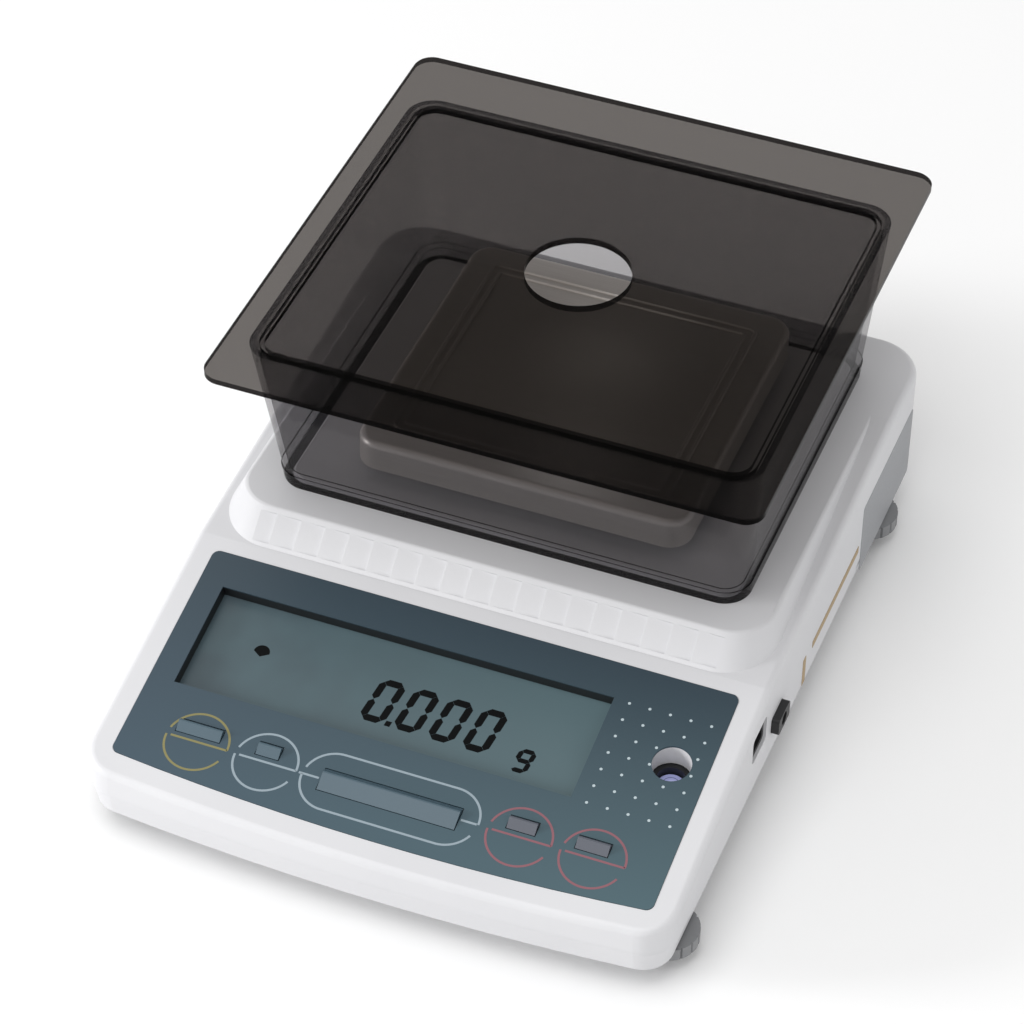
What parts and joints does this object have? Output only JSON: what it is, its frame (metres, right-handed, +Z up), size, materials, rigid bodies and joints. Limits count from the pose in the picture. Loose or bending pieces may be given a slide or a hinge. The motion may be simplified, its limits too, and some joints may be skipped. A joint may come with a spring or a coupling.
{
  "type": "top-loading balance",
  "caption": "Top-loading laboratory balance with a sloped key and display panel, a square steel pan, and a smoky draft shield with a lifting lid that has a round opening.",
  "frame": {"origin": "on the table, under the middle of the outline", "axes": "+Z up, +Y from the front panel to the rear, +X to the right when facing the panel"},
  "size_m": [0.2026, 0.275, 0.123],
  "materials": {
    "housing": "fine moulded texture",
    "panel_film": "satin printed film",
    "key_pale": "satin",
    "key_rose": "satin",
    "black_plastic": "satin",
    "display_glass": "gloss",
    "circuit_board": "solder mask",
    "smoky_acrylic": "polished",
    "vial": "gloss",
    "pan_steel": "brushed",
    "steel": "plated",
    "spring_steel": "rolled",
    "magnet_steel": "nickel plated",
    "cast_alloy": "as cast",
    "copper_coil": "lacquered wire",
    "rubber": "matt",
    "grey_cable": "matt"
  },
  "bodies": {
    "base": {"upper_case": "housing", "lower_case": "housing", "panel_overlay": "panel_film", "display_bezel": "black_plastic", "display_cell": "display_glass", "display_board": "circuit_board", "key_board": "circuit_board", "key_switches": "black_plastic", "level_cup": "black_plastic", "level_vial": "vial", "data_socket": "black_plastic", "power_inlet": "black_plastic", "connector_board": "circuit_board", "main_board": "circuit_board", "chassis": "cast_alloy", "magnet_pot": "magnet_steel", "position_sensor": "black_plastic", "display_cable": "grey_cable", "cell_cable": "grey_cable", "weigh_cell_column": "cast_alloy", "guide_lower": "spring_steel", "guide_upper": "spring_steel", "guide_clamps": "cast_alloy", "case_screws": "steel"},
    "carrier": {"load_receptor": "cast_alloy", "force_coil": "copper_coil"},
    "support": {"pan_support": "cast_alloy", "pan_pads": "rubber"},
    "pan": {"weighing_pan": "pan_steel"},
    "shield": {"draft_shield": "smoky_acrylic"},
    "lid": {"shield_lid": "smoky_acrylic"},
    "key_power": {"key_power": "key_pale"},
    "key_units": {"key_units": "key_pale"},
    "key_tare": {"key_tare": "key_pale"},
    "key_print": {"key_print": "key_rose"},
    "key_calibrate": {"key_calibrate": "key_rose"},
    "stud_front_left": {"foot_stud_front_left": "steel"},
    "wheel_front_left": {"foot_wheel_front_left": "black_plastic"},
    "stud_front_right": {"foot_stud_front_right": "steel"},
    "wheel_front_right": {"foot_wheel_front_right": "black_plastic"},
    "stud_rear_left": {"foot_stud_rear_left": "steel"},
    "wheel_rear_left": {"foot_wheel_rear_left": "black_plastic"},
    "stud_rear_right": {"foot_stud_rear_right": "steel"},
    "wheel_rear_right": {"foot_wheel_rear_right": "black_plastic"}
  },
  "joints": [
    {"name": "shield_lift", "type": "slide", "parent": "base", "child": "shield", "axis": [0, 0, 1], "range_m": [0, 0.09]},
    {"name": "lid_lift", "type": "slide", "parent": "shield", "child": "lid", "axis": [0, 0, 1], "range_m": [0, 0.06]},
    {"name": "weigh_deflection", "type": "slide", "parent": "base", "child": "carrier", "axis": [0, 0, -1], "range_m": [0, 0.0003], "stiffness_N_per_m": 15000, "springref_m": -0.00016},
    {"name": "support_lift", "type": "slide", "parent": "carrier", "child": "support", "axis": [0, 0, 1], "range_m": [0, 0.01]},
    {"name": "pan_lift", "type": "slide", "parent": "support", "child": "pan", "axis": [0, 0, 1], "range_m": [0, 0.03]},
    {"name": "key_power_press", "type": "slide", "parent": "base", "child": "key_power", "axis": [0, 0.2047, -0.9788], "range_m": [0, 0.0005], "stiffness_N_per_m": 400, "springref_m": -0.0003},
    {"name": "key_units_press", "type": "slide", "parent": "base", "child": "key_units", "axis": [0, 0.2047, -0.9788], "range_m": [0, 0.0005], "stiffness_N_per_m": 400, "springref_m": -0.0003},
    {"name": "key_tare_press", "type": "slide", "parent": "base", "child": "key_tare", "axis": [0, 0.2047, -0.9788], "range_m": [0, 0.0005], "stiffness_N_per_m": 400, "springref_m": -0.0003},
    {"name": "key_print_press", "type": "slide", "parent": "base", "child": "key_print", "axis": [0, 0.2047, -0.9788], "range_m": [0, 0.0005], "stiffness_N_per_m": 400, "springref_m": -0.0003},
    {"name": "key_calibrate_press", "type": "slide", "parent": "base", "child": "key_calibrate", "axis": [0, 0.2047, -0.9788], "range_m": [0, 0.0005], "stiffness_N_per_m": 400, "springref_m": -0.0003},
    {"name": "stud_travel_front_left", "type": "slide", "parent": "base", "child": "stud_front_left", "axis": [0, 0, -1], "range_m": [0, 0.0041]},
    {"name": "wheel_turn_front_left", "type": "hinge", "parent": "stud_front_left", "child": "wheel_front_left", "pos_m": [-0.0911, -0.1112, 0.0075], "axis": [0, 0, 1], "range_deg": [0, 1440]},
    {"name": "stud_travel_front_right", "type": "slide", "parent": "base", "child": "stud_front_right", "axis": [0, 0, -1], "range_m": [0, 0.0041]},
    {"name": "wheel_turn_front_right", "type": "hinge", "parent": "stud_front_right", "child": "wheel_front_right", "pos_m": [0.0911, -0.1112, 0.0075], "axis": [0, 0, 1], "range_deg": [0, 1440]},
    {"name": "stud_travel_rear_left", "type": "slide", "parent": "base", "child": "stud_rear_left", "axis": [0, 0, -1], "range_m": [0, 0.0041]},
    {"name": "wheel_turn_rear_left", "type": "hinge", "parent": "stud_rear_left", "child": "wheel_rear_left", "pos_m": [-0.0911, 0.0922, 0.0075], "axis": [0, 0, 1], "range_deg": [0, 1440]},
    {"name": "stud_travel_rear_right", "type": "slide", "parent": "base", "child": "stud_rear_right", "axis": [0, 0, -1], "range_m": [0, 0.0041]},
    {"name": "wheel_turn_rear_right", "type": "hinge", "parent": "stud_rear_right", "child": "wheel_rear_right", "pos_m": [0.0911, 0.0922, 0.0075], "axis": [0, 0, 1], "range_deg": [0, 1440]}
  ],
  "couplings": [
    {"joint": "stud_travel_front_left", "follows": "wheel_turn_front_left", "m_per_rad": 0.00015915},
    {"joint": "stud_travel_front_right", "follows": "wheel_turn_front_right", "m_per_rad": 0.00015915},
    {"joint": "stud_travel_rear_left", "follows": "wheel_turn_rear_left", "m_per_rad": 0.00015915},
    {"joint": "stud_travel_rear_right", "follows": "wheel_turn_rear_right", "m_per_rad": 0.00015915}
  ]
}
